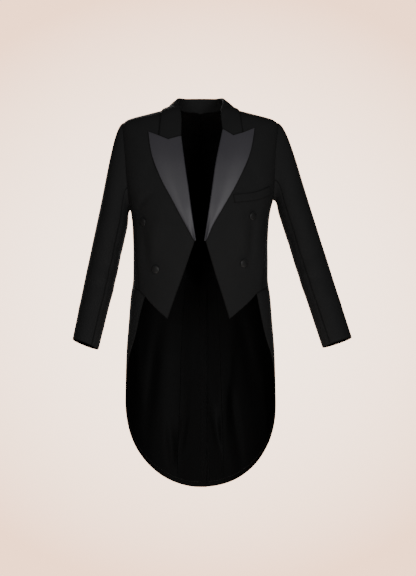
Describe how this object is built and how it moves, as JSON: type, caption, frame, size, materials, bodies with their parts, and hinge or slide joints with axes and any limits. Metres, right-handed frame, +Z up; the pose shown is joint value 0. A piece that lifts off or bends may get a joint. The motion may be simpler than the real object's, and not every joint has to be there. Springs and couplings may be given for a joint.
{
  "type": "evening tailcoat",
  "caption": "Hollow evening tailcoat in its worn shape with no wearer: peaked satin lapels, cut-away fronts, shaped sleeves and rounded tails.",
  "frame": {"origin": "middle of the neck, level with where the shoulder seams meet the collar", "axes": "+Z up, -Y the way the front faces, +X towards the wearer's left"},
  "size_m": [0.7773, 0.2799, 1.1061],
  "materials": {
    "wool": "matte black worsted wool",
    "satin": "dark satin facing with a soft sheen",
    "lining": "smooth black lining",
    "button": "black, slightly shiny"
  },
  "bodies": {
    "root": {"back_button_left": "button", "back_button_right": "button", "back_left": "wool", "back_lining_left": "lining", "back_lining_right": "lining", "back_right": "wool", "breast_welt": "wool", "collar": "wool", "front_button_left_1": "button", "front_button_left_2": "button", "front_button_right_1": "button", "front_button_right_2": "button", "front_left": "wool", "front_right": "wool", "lapel_left": "satin", "lapel_right": "satin", "side_body_left": "wool", "side_body_right": "wool", "skirt_left": "wool", "skirt_lining_left": "lining", "skirt_lining_right": "lining", "skirt_right": "wool", "top_sleeve_left": "wool", "top_sleeve_right": "wool", "under_sleeve_left": "wool", "under_sleeve_right": "wool"}
  },
  "joints": []
}
